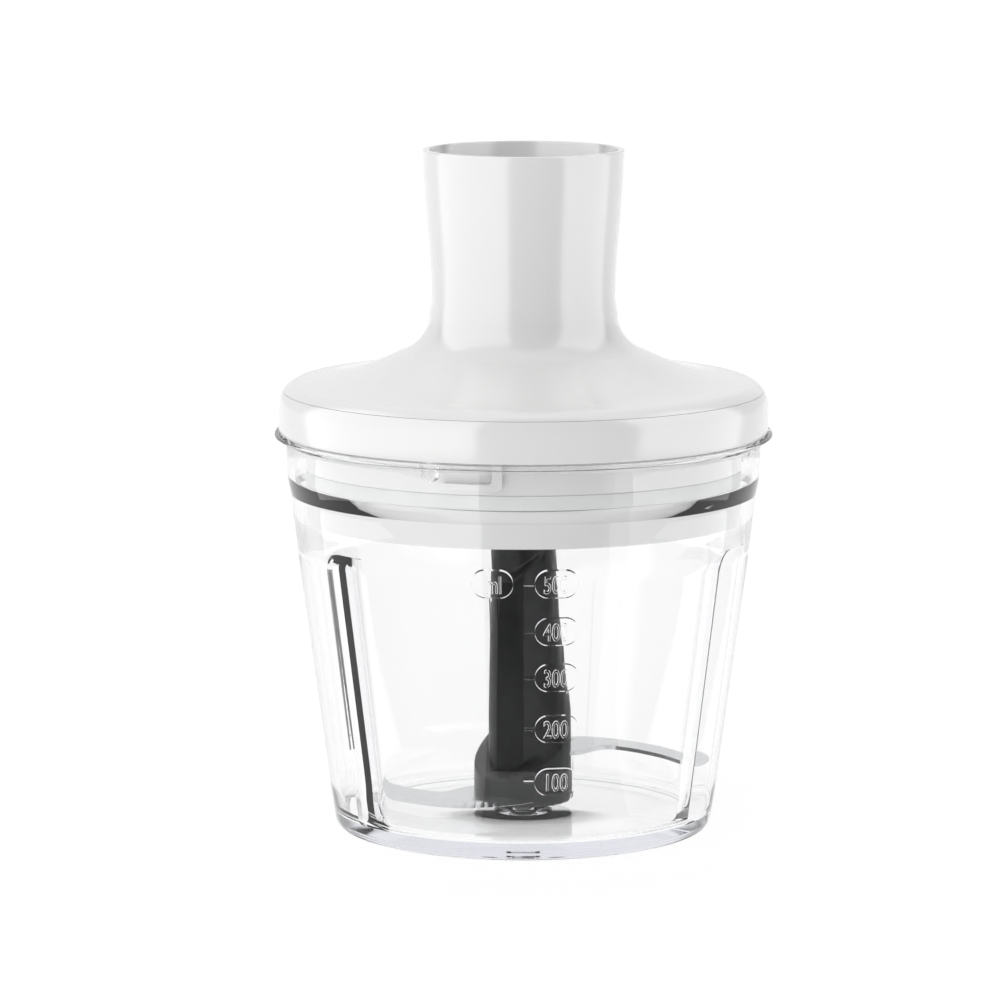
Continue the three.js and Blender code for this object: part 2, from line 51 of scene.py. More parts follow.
# ---- camera, light and floor -------------------------------------------

# Directions in the studio: (facing, where it starts, where it is full, level).
LIT_SIDES = (
    ((0.0, 1.0, 0.0), 0.42, 0.66, 1.1),
    ((0.0, 0.0, 1.0), 0.3, 0.6, 1.25),
    ((0.0, 0.0, -1.0), 0.02, 0.1, 1.0),
    ((-0.6, -0.7, 0.4), 0.78, 0.9, 1.6),
)
DARK_LEVEL = 0.035

# Curved cards round the object: azimuths in degrees, heights and distances in metres from the lower edge
# to the upper, glow, and whether rays that passed through clear plastic see the card too.
CARDS = (
    ("card_dark", (-16.0, 43.0), (0.001, 0.35), (0.14, 0.14), 0.02, False),
    ("card_floor", (-16.0, 43.0), (0.001, 0.001), (0.068, 0.14), 0.02, False),
    ("card_near", (-14.0, 30.0), (0.004, 0.3), (0.09, 0.09), 0.02, True),
    ("card_left", (-112.0, -8.0), (0.001, 0.5), (0.3, 0.3), 2.3, False),
    ("card_right", (38.0, 112.0), (0.001, 0.5), (0.3, 0.3), 2.2, False),
)


def add_camera():
    data = bpy.data.cameras.new("camera")
    data.sensor_width = 36.0
    data.lens = 181.8
    data.clip_end = 50.0
    camera = bpy.data.objects.new("camera", data)
    camera.location = (0.0, -1.3071, 0.28751)
    tilt = 8.776
    turn = 0.269
    camera.rotation_euler = (math.radians(90.0 - tilt), 0.0, math.radians(turn))
    bpy.context.scene.collection.objects.link(camera)
    bpy.context.scene.camera = camera


def new_nodes(owner):
    owner.use_nodes = True
    tree = owner.node_tree
    tree.nodes.clear()
    return tree


def add_world():
    """A studio lit from behind, above, below and the front left, and dark elsewhere."""
    world = bpy.data.worlds.new("studio")
    bpy.context.scene.world = world
    tree = new_nodes(world)
    place = tree.nodes.new("ShaderNodeTexCoord")
    brightest = None
    for facing, start, full, level in LIT_SIDES:
        ahead = tree.nodes.new("ShaderNodeVectorMath")
        ahead.operation = "DOT_PRODUCT"
        ahead.inputs[1].default_value = Vector(facing).normalized()
        tree.links.new(place.outputs["Generated"], ahead.inputs[0])
        fade = tree.nodes.new("ShaderNodeMapRange")
        fade.interpolation_type = "SMOOTHSTEP"
        fade.inputs["From Min"].default_value = start
        fade.inputs["From Max"].default_value = full
        fade.inputs["To Min"].default_value = DARK_LEVEL
        fade.inputs["To Max"].default_value = level
        tree.links.new(ahead.outputs["Value"], fade.inputs["Value"])
        if brightest is None:
            brightest = fade.outputs["Result"]
            continue
        larger = tree.nodes.new("ShaderNodeMath")
        larger.operation = "MAXIMUM"
        tree.links.new(brightest, larger.inputs[0])
        tree.links.new(fade.outputs["Result"], larger.inputs[1])
        brightest = larger.outputs["Value"]
    back = tree.nodes.new("ShaderNodeBackground")
    tree.links.new(brightest, back.inputs["Strength"])
    out = tree.nodes.new("ShaderNodeOutputWorld")
    tree.links.new(back.outputs[0], out.inputs["Surface"])


def add_floor(finish):
    half = 12.0
    mesh = bpy.data.meshes.new("floor")
    corners = [(-half, -half, 0.0), (half, -half, 0.0), (half, half, 0.0), (-half, half, 0.0)]
    mesh.from_pydata(corners, [], [(0, 1, 2, 3)])
    mesh.materials.append(finish)
    floor = bpy.data.objects.new("floor", mesh)
    bpy.context.scene.collection.objects.link(floor)


def add_card(name, azimuths, heights, distances, glow, through):
    """A curved studio card seen only by mirrored rays, so it never hides what is behind it."""
    material = bpy.data.materials.new(name)
    tree = new_nodes(material)
    light = tree.nodes.new("ShaderNodeEmission")
    light.inputs["Strength"].default_value = glow
    path = tree.nodes.new("ShaderNodeLightPath")
    clear = tree.nodes.new("ShaderNodeBsdfTransparent")
    mix = tree.nodes.new("ShaderNodeMixShader")
    mirrored = tree.nodes.new("ShaderNodeMath")
    mirrored.operation = "GREATER_THAN"
    mirrored.inputs[1].default_value = 0.5
    tree.links.new(path.outputs["Glossy Depth"], mirrored.inputs[0])
    tree.links.new(mirrored.outputs["Value"], mix.inputs["Fac"])
    tree.links.new(clear.outputs["BSDF"], mix.inputs[1])
    tree.links.new(light.outputs[0], mix.inputs[2])
    out = tree.nodes.new("ShaderNodeOutputMaterial")
    tree.links.new(mix.outputs["Shader"], out.inputs["Surface"])
    steps = 12
    points = []
    for i in range(steps + 1):
        azimuth = azimuths[0] + (azimuths[1] - azimuths[0]) * i / steps
        points += [on_azimuth(r, azimuth, z) for r, z in zip(distances, heights)]
    faces = [(2 * i, 2 * i + 2, 2 * i + 3, 2 * i + 1) for i in range(steps)]
    mesh = bpy.data.meshes.new(name)
    mesh.from_pydata(points, [], faces)
    mesh.materials.append(material)
    card = bpy.data.objects.new(name, mesh)
    bpy.context.scene.collection.objects.link(card)
    card.visible_camera = False
    card.visible_diffuse = False
    card.visible_transmission = through
    card.visible_volume_scatter = False
    card.visible_shadow = False


# ---- materials ---------------------------------------------------------

def principled(name, **values):
    material = bpy.data.materials.new(name)
    tree = new_nodes(material)
    shader = tree.nodes.new("ShaderNodeBsdfPrincipled")
    out = tree.nodes.new("ShaderNodeOutputMaterial")
    tree.links.new(shader.outputs["BSDF"], out.inputs["Surface"])
    for socket, value in values.items():
        shader.inputs[socket.replace("_", " ")].default_value = value
    return material, tree, shader, out


def noise(tree, scale, detail=3.0, stretch=(1.0, 1.0, 1.0)):
    """Noise in the object's own metres, stretched along an axis."""
    place = tree.nodes.new("ShaderNodeTexCoord")
    mapping = tree.nodes.new("ShaderNodeMapping")
    mapping.inputs["Scale"].default_value = stretch
    texture = tree.nodes.new("ShaderNodeTexNoise")
    texture.inputs["Scale"].default_value = scale
    texture.inputs["Detail"].default_value = detail
    tree.links.new(place.outputs["Object"], mapping.inputs["Vector"])
    tree.links.new(mapping.outputs["Vector"], texture.inputs["Vector"])
    return texture.outputs["Fac"]


def spread(tree, source, low, high):
    """Maps a 0 to 1 value onto a narrow range."""
    node = tree.nodes.new("ShaderNodeMapRange")
    node.inputs["From Min"].default_value = 0.3
    node.inputs["From Max"].default_value = 0.7
    node.inputs["To Min"].default_value = low
    node.inputs["To Max"].default_value = high
    tree.links.new(source, node.inputs["Value"])
    return node.outputs["Result"]


def mixed_colour(tree, source, first, second):
    ramp = tree.nodes.new("ShaderNodeValToRGB")
    ramp.color_ramp.elements[0].position = 0.35
    ramp.color_ramp.elements[1].position = 0.65
    ramp.color_ramp.elements[0].color = (*first, 1.0)
    ramp.color_ramp.elements[1].color = (*second, 1.0)
    tree.links.new(source, ramp.inputs["Fac"])
    return ramp.outputs["Color"]


def bump(tree, shader, source, height, strength=1.0):
    node = tree.nodes.new("ShaderNodeBump")
    node.inputs["Distance"].default_value = height
    node.inputs["Strength"].default_value = strength
    tree.links.new(source, node.inputs["Height"])
    tree.links.new(node.outputs["Normal"], shader.inputs["Normal"])


def clear_plastic():
    """Clear plastic that refracts what is seen and lets soft light straight through."""
    material, tree, shader, out = principled(
        "clear_plastic",
        Base_Color=(1.0, 1.0, 1.0, 1.0),
        Transmission_Weight=1.0,
        IOR=1.5,
    )
    tree.links.new(spread(tree, noise(tree, 60.0), 0.0, 0.015), shader.inputs["Roughness"])
    bump(tree, shader, noise(tree, 30.0, 0.0), 0.00001, 0.15)
    path = tree.nodes.new("ShaderNodeLightPath")
    soft = tree.nodes.new("ShaderNodeMath")
    soft.operation = "MAXIMUM"
    tree.links.new(path.outputs["Is Diffuse Ray"], soft.inputs[0])
    tree.links.new(path.outputs["Is Shadow Ray"], soft.inputs[1])
    through = tree.nodes.new("ShaderNodeBsdfTransparent")
    mix = tree.nodes.new("ShaderNodeMixShader")
    tree.links.new(soft.outputs["Value"], mix.inputs["Fac"])
    tree.links.new(shader.outputs["BSDF"], mix.inputs[1])
    tree.links.new(through.outputs["BSDF"], mix.inputs[2])
    tree.links.new(mix.outputs["Shader"], out.inputs["Surface"])
    tint = tree.nodes.new("ShaderNodeVolumeAbsorption")
    tint.inputs["Color"].default_value = (0.3, 0.36, 0.66, 1.0)
    tint.inputs["Density"].default_value = 2.4
    tree.links.new(tint.outputs["Volume"], out.inputs["Volume"])
    return material


def white_plastic():
    material, tree, shader, _ = principled(
        "white_plastic",
        IOR=1.5,
        Coat_Weight=1.0,
        Coat_Roughness=0.2,
    )
    shade = noise(tree, 18.0, 2.0)
    colour = mixed_colour(tree, shade, (0.835, 0.835, 0.832), (0.855, 0.855, 0.852))
    tree.links.new(colour, shader.inputs["Base Color"])
    tree.links.new(spread(tree, noise(tree, 90.0), 0.16, 0.24), shader.inputs["Roughness"])
    bump(tree, shader, noise(tree, 2600.0, 2.0), 0.000002, 0.3)
    return material


def charcoal_plastic():
    material, tree, shader, _ = principled("charcoal_plastic", IOR=1.5, Specular_IOR_Level=0.4)
    shade = noise(tree, 220.0, 4.0)
    colour = mixed_colour(tree, shade, (0.013, 0.0134, 0.014), (0.018, 0.0185, 0.0195))
    tree.links.new(colour, shader.inputs["Base Color"])
    tree.links.new(spread(tree, noise(tree, 300.0), 0.32, 0.46), shader.inputs["Roughness"])
    bump(tree, shader, noise(tree, 500.0, 2.0), 0.000001, 0.1)
    return material


def metal(name, colour, rough, stretch, grain=900.0):
    material, tree, shader, _ = principled(name, Metallic=1.0)
    brushed = noise(tree, grain, 3.0, stretch)
    darker = tuple(0.86 * c for c in colour)
    tree.links.new(mixed_colour(tree, brushed, darker, colour), shader.inputs["Base Color"])
    tree.links.new(spread(tree, brushed, rough, rough + 0.12), shader.inputs["Roughness"])
    bump(tree, shader, brushed, 0.000006, 0.5)
    return material


def moulded(name, first, second, rough, grain):
    material, tree, shader, _ = principled(name, IOR=1.48)
    shade = noise(tree, 120.0, 3.0)
    tree.links.new(mixed_colour(tree, shade, first, second), shader.inputs["Base Color"])
    tree.links.new(spread(tree, noise(tree, grain), rough, rough + 0.12), shader.inputs["Roughness"])
    bump(tree, shader, noise(tree, grain * 4.0, 2.0), 0.00002, 0.5)
    return material


def floor_finish():
    material, tree, shader, _ = principled("floor", Specular_IOR_Level=0.1)
    shade = noise(tree, 3.0, 2.0)
    colour = mixed_colour(tree, shade, (0.29, 0.29, 0.29), (0.31, 0.31, 0.31))
    tree.links.new(colour, shader.inputs["Base Color"])
    shader.inputs["Roughness"].default_value = 0.8
    shader.inputs["Emission Color"].default_value = (1.0, 1.0, 1.0, 1.0)
    shader.inputs["Emission Strength"].default_value = 0.74
    return material


# ---- mesh building -----------------------------------------------------

def add_mesh(name, points, faces, finish, sharp=35.0):
    """Links a mesh from points in millimetres, smooth but for its sharp edges."""
    mesh = bpy.data.meshes.new(name)
    mesh.from_pydata([tuple(MM * c for c in p) for p in points], [], faces)
    mesh.validate()
    shape = bmesh.new()
    shape.from_mesh(mesh)
    bmesh.ops.recalc_face_normals(shape, faces=shape.faces)
    shape.to_mesh(mesh)
    shape.free()
    mesh.polygons.foreach_set("use_smooth", [True] * len(mesh.polygons))
    mesh.set_sharp_from_angle(angle=math.radians(sharp))
    mesh.materials.append(finish)
    piece = bpy.data.objects.new(name, mesh)
    bpy.context.scene.collection.objects.link(piece)
    return piece


def on_azimuth(r, azimuth, z):
    a = math.radians(azimuth)
    return (r * math.sin(a), -r * math.cos(a), z)


def skin(rows, closed):
    """Faces and points of a surface from rows of points round the axis.

    A row of one point is a pole. A closed surface joins its last row to its first.
    """
    points = []
    starts = []
    for row in rows:
        starts.append((len(points), len(row)))
        points.extend(row)
    faces = []
    pairs = list(zip(starts, starts[1:]))
    if closed:
        pairs.append((starts[-1], starts[0]))
    for (a, na), (b, nb) in pairs:
        n = max(na, nb)
        for i in range(n):
            j = (i + 1) % n
            if na == 1:
                faces.append((a, b + j, b + i))
            elif nb == 1:
                faces.append((a + i, a + j, b))
            else:
                faces.append((a + i, a + j, b + j, b + i))
    return points, faces


def arc_points(cx, cz, r, from_deg, to_deg, steps):
    """Points of an arc in a profile; 0 degrees points outwards, 90 up."""
    points = []
    for i in range(steps + 1):
        a = math.radians(from_deg + (to_deg - from_deg) * i / steps)
        points.append((cx + r * math.cos(a), cz + r * math.sin(a)))
    return points


def lathe_rows(profile, segments):
    rows = []
    for r, z in profile:
        if r < 1e-6:
            rows.append([(0.0, 0.0, z)])
        else:
            rows.append([on_azimuth(r, 360.0 * i / segments, z) for i in range(segments)])
    return rows


def lathe(name, profile, finish, segments=192, sharp=35.0):
    """A closed solid of revolution; a profile off the axis closes on itself."""
    closed = profile[0][0] > 1e-6
    points, faces = skin(lathe_rows(profile, segments), closed)
    return add_mesh(name, points, faces, finish, sharp)


def smooth_step(t):
    t = min(1.0, max(0.0, t))
    return t * t * (3.0 - 2.0 * t)


def wrapped_plate(outline, centre, inner, outer):
    """A plate bent round the axis: outline of (mm along the wall, height) pairs."""
    middle = (inner(0.0) + outer(0.0)) / 2.0
    points = []
    for surface in (inner, outer):
        for along, z in outline:
            azimuth = centre + math.degrees(along / middle)
            points.append(on_azimuth(surface(z), azimuth, z))
    return points


# ---- bowl --------------------------------------------------------------

WALL = 2.1
FLOOR_TOP = 4.5
RIB_AZIMUTHS = (60.0, 180.0, 300.0)
RIB_SPREAD = 16.0
RIB_DEPTH = 3.3
RIB_ARCH = 71.0
RIB_TOP = 76.8
RIB_SHIFT = 5.0
SEAT = 57.1
RIB_FOLLOW = 12.0


def wall_outer(z):
    return 49.35 + 0.134 * z


def wall_inner(z):
    return wall_outer(z) - WALL


def bowl_columns():
    """Azimuths round the bowl, close together at each rib's sharp step."""
    columns = []
    for start in RIB_AZIMUTHS:
        columns += [(start, off) for off in (-0.5, -0.12, -0.06, 0.0, 0.06, 0.12, 0.4, 0.8)]
        columns += [(start, 0.8 + (RIB_SPREAD - 0.8) * i / 14.0) for i in range(1, 15)]
        gap = 120.0 - RIB_SPREAD - 0.5
        columns += [(start, RIB_SPREAD + gap * i / 52.0) for i in range(1, 52)]
    return columns


def rib_row(z, base):
    """One ring of the bowl's inner wall, pushed in where a rib stands."""
    over = min(1.0, max(0.0, (z - RIB_ARCH) / (RIB_TOP - RIB_ARCH)))
    shift = (1.0 - math.sqrt(1.0 - over**2)) * RIB_SHIFT
    deep = RIB_DEPTH - 0.4 * smooth_step((16.0 - z) / 4.0)
    row = []
    for start, off in bowl_columns():
        depth = 0.0
        azimuth = start + off
        if off <= RIB_SPREAD:
            rise = smooth_step((off + 0.12) / 0.24)
            share = min(1.0, max(0.0, off / RIB_SPREAD))
            moved = shift + (RIB_SPREAD - shift) * share
            if z <= RIB_TOP:
                depth = deep * rise * (1.0 - moved / RIB_SPREAD) ** 1.5
            azimuth = start + moved + min(off, 0.0)
        elif off > 120.0 - RIB_FOLLOW:
            azimuth += shift * (off - (120.0 - RIB_FOLLOW)) / RIB_FOLLOW
        row.append(on_azimuth(base - depth, azimuth, z))
    return row


def bowl_piece(finish):
    columns = [start + off for start, off in bowl_columns()]

    def ring(r, z):
        return [on_azimuth(r, a, z) for a in columns]

    outside = [(43.8, 1.2), (44.0, 1.0), (44.2, 0.15), (44.5, 0.0), (47.6, 0.0)]
    outside += [(48.5, 0.35), (49.2, 1.2), (wall_outer(2.4), 2.4)]
    outside += [(wall_outer(z), float(z)) for z in range(10, 80, 12)]
    outside += [(60.42, 84.0), (60.68, 87.4), (60.8, 88.2), (61.3, 90.4), (61.62, 92.4), (61.75, 93.6)]
    outside += [(62.05, 101.0), (62.2, 101.6), (62.8, 102.1), (64.7, 103.2), (65.0, 103.45), (65.0, 103.8)]
    outside += [(64.85, 104.0), (60.5, 104.0), (60.1, 103.9), (59.92, 103.5), (59.7, 93.3), (59.62, 92.6)]
    outside += [(59.5, 92.3), (SEAT, 88.5), (SEAT - 0.05, 88.1), (SEAT - 0.05, 80.0)]
    rows = [[(0.0, 0.0, 1.2)]] + [ring(r, z) for r, z in outside]
    heights = [RIB_TOP + 0.15]
    turns = [math.radians(90.0 * i / 12.0) for i in range(13)]
    heights += [RIB_TOP - (RIB_TOP - RIB_ARCH) * (1.0 - math.cos(turn)) for turn in turns]
    heights += [float(z) for z in range(60, 8, -4)] + [7.0]
    rows += [rib_row(z, min(wall_inner(z), SEAT)) for z in heights]
    foot = wall_inner(7.0)
    rows += [rib_row(z, foot - off) for off, z in ((0.35, 5.9), (0.9, 5.1), (1.7, 4.65))]
    inside = [(foot - 4.2, FLOOR_TOP), (30.0, FLOOR_TOP), (9.0, FLOOR_TOP), (7.4, 4.7), (6.8, 5.4)]
    inside += [(6.6, 6.2), (6.6, 9.6), (6.4, 9.9), (6.1, 10.0), (3.6, 10.0), (3.3, 9.8), (3.3, 2.4)]
    rows += [ring(r, z) for r, z in inside] + [[(0.0, 0.0, 2.4)]]
    points, faces = skin(rows, False)
    return add_mesh("bowl_shell", points, faces, finish, 50.0)


# ---- lid ---------------------------------------------------------------

SHOULDER = (58.0, 111.5, 5.9)
FILLET = (35.44, 135.3, 10.9)
SPLIT = 115.0
SPLIT_HALF = 0.04
SLOPE = 16.2


def dome_profile(inset):
    """The dome from its shoulder to the waist, moved in by a wall thickness."""
    cx, cz, r = SHOULDER
    low = math.degrees(math.asin((SPLIT + SPLIT_HALF - cz) / (r - inset)))
    shoulder = arc_points(cx, cz, r - inset, low, 90.0 - SLOPE, 8)
    fx, fz, fr = FILLET
    fillet = arc_points(fx, fz, fr + inset, -90.0 - SLOPE, -180.0, 14)
    start, end = Vector(shoulder[-1]), Vector(fillet[0])
    bow = 3.0
    slope = []
    for i in range(1, 12):
        t = i / 12.0
        point = start.lerp(end, t)
        slope.append((point.x, point.y - bow * 2.0 * t * (1.0 - t)))
    return shoulder + slope + fillet


def cover_piece(finish):
    outside = dome_profile(0.0)
    neck = [(23.9, 139.3), (24.1, 145.6), (24.5, 151.8), (25.0, 158.0), (25.5, 164.3), (25.95, 170.6)]
    neck += [(26.2, 177.0), (26.24, 177.45), (26.1, 177.75), (25.8, 177.84), (25.0, 177.84), (24.7, 177.75)]
    neck += [(24.55, 177.4), (24.3, 172.0), (23.6, 162.0), (22.6, 150.0), (22.2, 140.0), (22.2, 130.5)]
    neck += [(21.9, 129.3), (21.2, 128.6), (20.2, 128.5), (11.0, 128.5), (10.6, 128.3), (10.5, 128.0)]
    neck += [(10.5, 126.5), (26.0, 126.5)]
    inside = [p for p in dome_profile(2.0) if p[1] < 126.0]
    inside.reverse()
    cut = [p for p in inside if p[0] < 58.2]
    spigot = [(58.3, cut[-1][1] - 0.4), (58.3, 112.5), (59.9, 112.5), (59.9, SPLIT + SPLIT_HALF)]
    return lathe("lid_dome", outside + neck + cut + spigot, finish, 256, 30.0)


def base_profile():
    cx, cz, r = SHOULDER
    top = SPLIT - SPLIT_HALF
    high = math.degrees(math.asin((top - cz) / r))
    plug = [(14.3, 83.6), (53.2, 83.6), (53.5, 83.4), (53.6, 82.3), (53.9, 82.0), (55.9, 82.0)]
    plug += [(56.4, 82.2), (56.5, 82.8), (56.5, 90.8), (55.2, 91.0), (55.0, 91.2), (55.0, 95.5)]
    plug += [(55.2, 95.7), (56.4, 95.7), (56.5, 95.9), (56.5, 103.9), (56.7, 104.3), (63.4, 104.3)]
    plug += [(63.75, 104.4), (63.9, 104.8)]
    shoulder = arc_points(cx, cz, r, 0.0, high, 6)
    inside = [(60.2, top), (60.2, 106.3), (53.6, 106.3), (53.6, 86.0), (16.3, 86.0), (16.3, 96.4)]
    inside += [(14.3, 96.4)]
    return plug + shoulder + inside


def hook_outline():
    """The L of a bayonet hook, unrolled: mm along the plug and height."""
    length, bar_low, bar_high, top, stop = 15.7, 97.0, 98.7, 104.3, 2.4
    corner = arc_points(length - 1.6, bar_low + 1.6, 1.6, -90.0, 0.0, 6)
    inner = [(length - stop, top), (length - stop, bar_high + 0.8), (length - stop - 0.8, bar_high)]
    nose = arc_points(0.85, (bar_low + bar_high) / 2.0, 0.85, 90.0, 270.0, 6)
    return corner + [(length, top)] + inner + nose


def solid_plate(outline, centre, inner, outer):
    points = wrapped_plate(outline, centre, inner, outer)
    n = len(outline)
    faces = [tuple(range(n)), tuple(range(2 * n - 1, n - 1, -1))]
    for i in range(n):
        j = (i + 1) % n
        faces.append((i, n + i, n + j, j))
    return points, faces


def gather(parts):
    """Joins several (points, faces) lists into one."""
    points, faces = [], []
    for more_points, more_faces in parts:
        start = len(points)
        points += more_points
        faces += [tuple(start + i for i in face) for face in more_faces]
    return points, faces


def repeated(outline, azimuths, inner, outer):
    return gather([solid_plate(outline, a, inner, outer) for a in azimuths])


def hook_piece(finish):
    starts = (-20.8, 99.2, 219.2)
    points, faces = repeated(hook_outline(), starts, lambda z: 56.4, lambda z: 58.8)
    return add_mesh("bayonet_hooks", points, faces, finish, 40.0)


def lug_piece(finish):
    half, low, high = 1.9, 98.8, 103.7
    bottom = arc_points(0.0, low + half, half, 180.0, 360.0, 10)
    outline = bottom + [(half, high), (-half, high)]
    centres = (-23.2, 96.8, 216.8)
    points, faces = repeated(outline, centres, lambda z: 57.3, lambda z: 60.4)
    return add_mesh("bayonet_lugs", points, faces, finish, 40.0)


def seal_piece(finish):
    profile = [(55.1, 91.15), (56.3, 91.0), (56.52, 91.25), (56.62, 92.2), (56.58, 93.3), (56.62, 94.5)]
    profile += [(56.52, 95.45), (56.3, 95.64), (55.1, 95.5)]
    return lathe("plug_seal", profile, finish, 192)


# ---- blade column ------------------------------------------------------

HUB_SEGMENTS = 180
FACET_HALF = 47.0
FACETS = (-93.0, 87.0)
FACET_SHARE = math.cos(math.radians(FACET_HALF))
DOG_AZIMUTHS = (-90.0, 30.0, 150.0)
DOG_HALF = 12.0
BORE_R = 5.8
BORE_TOP = 38.3


def column_radius(angle, z):
    """The column's own radius, leaning out to the right as it goes down."""
    low = min(1.0, max(0.0, (74.0 - z) / 44.0))
    lean = max(0.0, math.cos(math.radians(angle)))
    return 8.4 + 0.7 * low + 3.3 * lean * low**1.6


def hub_radius(angle, z):
    """Radius of the hub at an angle from +X in degrees, and a height."""
    r = column_radius(angle, z)
    turn = 0.5 + 0.5 * math.cos(math.radians(angle - 50.0))
    top = 13.5 + 15.5 * turn
    for facet in FACETS:
        off = (angle - facet + 180.0) % 360.0 - 180.0
        if abs(off) < FACET_HALF:
            flat = r * FACET_SHARE / math.cos(math.radians(off))
            hollow = 1.1 * (1.0 - (off / FACET_HALF) ** 2) * smooth_step((z - BORE_TOP) / 10.0)
            end = 70.0 + 4.0 * off / FACET_HALF
            keep = 1.0 - smooth_step((z - end) / 3.5)
            r = r + (flat - hollow - r) * keep
            break
    ramp = 1.4 + 7.0 * turn**2
    foot = 12.95 - 0.35 * smooth_step((z - 13.0) / 12.0)
    flare = 1.0 - smooth_step((z - top) / ramp)
    return r + (foot - r) * flare


def hub_piece(finish):
    angles = [360.0 * i / HUB_SEGMENTS for i in range(HUB_SEGMENTS)]
    edges = [facet + side * FACET_HALF for facet in FACETS for side in (-1, 1)]
    dogs = [a + side * off for a in DOG_AZIMUTHS for side in (-1, 1) for off in (DOG_HALF, DOG_HALF + 0.3)]
    angles = sorted({round(a % 360.0, 3) for a in angles + edges + dogs})

    def ring(r, z):
        return [(r * math.cos(math.radians(a)), r * math.sin(math.radians(a)), z) for a in angles]

    def shaped(z):
        row = []
        for a in angles:
            r = hub_radius(a, z)
            row.append((r * math.cos(math.radians(a)), r * math.sin(math.radians(a)), z))
        return row

    def dogged(core, reach, z):
        row = []
        for a in angles:
            near = min(abs((a - d + 180.0) % 360.0 - 180.0) for d in DOG_AZIMUTHS)
            r = reach if near <= DOG_HALF + 0.01 else core
            row.append((r * math.cos(math.radians(a)), r * math.sin(math.radians(a)), z))
        return row

    rows = [[(0.0, 0.0, BORE_TOP)], ring(BORE_R, BORE_TOP), ring(BORE_R, 11.6)]
    rows += [ring(7.3, 11.6), ring(7.3, 6.3)]
    rows += [ring(12.0, 6.3), ring(12.5, 6.4), ring(12.85, 6.8)]
    heights = [7.3 + 0.5 * i for i in range(0, 68)] + [42.0 + 2.0 * i for i in range(0, 12)]
    heights += [65.0 + 0.5 * i for i in range(0, 24)] + [83.6]
    rows += [shaped(z) for z in heights]
    rows += [ring(8.1, 84.0), dogged(5.5, 8.1, 84.05), dogged(5.5, 8.1, 93.4), dogged(5.1, 7.7, 94.0)]
    rows += [[(0.0, 0.0, 94.0)]]
    points, faces = skin(rows, False)
    return add_mesh("column", points, faces, finish, 36.0)


def spline(points, count):
    """A smooth curve through given points, by Catmull-Rom."""
    padded = [2 * Vector(points[0]) - Vector(points[1])] + [Vector(p) for p in points]
    padded.append(2 * padded[-1] - padded[-2])
    result = []
    spans = len(points) - 1
    for i in range(count + 1):
        place = min(i / count * spans, spans - 1e-9)
        k = int(place)
        t = place - k
        a, b, c, d = padded[k : k + 4]
        square = 2 * a - 5 * b + 4 * c - d
        cube = 3 * b - a - 3 * c + d
        result.append(0.5 * (2 * b + (c - a) * t + square * t**2 + cube * t**3))
    return result


CUTTING_EDGE = (
    (-6.0, 8.0), (-2.0, 13.2), (6.0, 18.3), (17.0, 20.3),
    (29.5, 14.3), (39.7, 4.2), (44.6, -6.0), (43.6, -12.9),
)
BLADE_BACK = (
    (2.0, 7.4), (6.6, 3.4), (7.6, -2.0), (14.0, -3.2),
    (21.0, 4.2), (27.5, 2.0), (35.4, -6.0), (40.6, -14.6),
)
UPPER_LOW = 18.4
LOWER_LOW = 7.8
LOWER_SCALE = 0.985
TANG_REACH = 20.0
TOOTH_PITCH = 3
TOOTH_DEPTH = 0.45
EDGE_THICK = 0.12
BLADE_THICK = 1.2
GROUND_WIDTH = 3.6


def blade_piece(name, low, turned, serrated, finish):
    """A sickle blade: a flat spine and a ground edge along its outer curve."""
    count = 96
    cutting = spline(CUTTING_EDGE, count)
    spine = spline(BLADE_BACK, count)
    reach = LOWER_SCALE if turned else 1.0
    rows_top, rows_low = [], []
    shares = (0.0, 0.04, 0.12, 0.22, 0.34, 0.5, 0.7, 0.9, 0.97, 1.0)
    for i in range(count + 1):
        edge, back = cutting[i].copy(), spine[i]
        width = (back - edge).length
        inward = (back - edge) / width
        if serrated and 0.24 < i / count < 0.62 and i % TOOTH_PITCH == 0:
            edge = edge + inward * TOOTH_DEPTH
        top, under = [], []
        for share in shares:
            point = edge.lerp(back, share)
            if point.length > TANG_REACH:
                point = point * reach
            depth = share * width
            ground = EDGE_THICK + (BLADE_THICK - EDGE_THICK) * min(1.0, depth / GROUND_WIDTH)
            rounded = EDGE_THICK * (share > 0.985)
            x, y = (-point.x, -point.y) if turned else (point.x, point.y)
            top.append((x, y, low + ground - rounded))
            under.append((x, y, low + rounded))
        rows_top.append(top)
        rows_low.append(under)
    wide = len(shares)
    points = [p for row in rows_top for p in row] + [p for row in rows_low for p in row]
    shift = wide * (count + 1)
    faces = []
    for i in range(count):
        for k in range(wide - 1):
            a = i * wide + k
            faces.append((a, a + 1, a + wide + 1, a + wide))
            faces.append((shift + a, shift + a + wide, shift + a + wide + 1, shift + a + 1))
        for k in (0, wide - 1):
            a = i * wide + k
            quad = (a, a + wide, shift + a + wide, shift + a)
            faces.append(quad if k == 0 else quad[::-1])
    for i in (0, count):
        for k in range(wide - 1):
            a = i * wide + k
            quad = (a, shift + a, shift + a + 1, a + 1)
            faces.append(quad if i == 0 else quad[::-1])
    return add_mesh(name, points, faces, finish, 12.0)


# ---- graduations -------------------------------------------------------

FIGURE_HEIGHT = 4.7
PILL_HEIGHT = 6.9
PILL_RISE = 0.22
PATCH_SLOPE = 0.8
PATCH_ROOT = 0.4
FIGURE_RISE = 0.5
FIGURE_EDGE = 0.18
FIGURE_HALF = 0.5
FIGURE_NARROW = 0.66
LEVELS = ((500, 73.4), (400, 61.0), (300, 48.9), (200, 35.4), (100, 21.3))


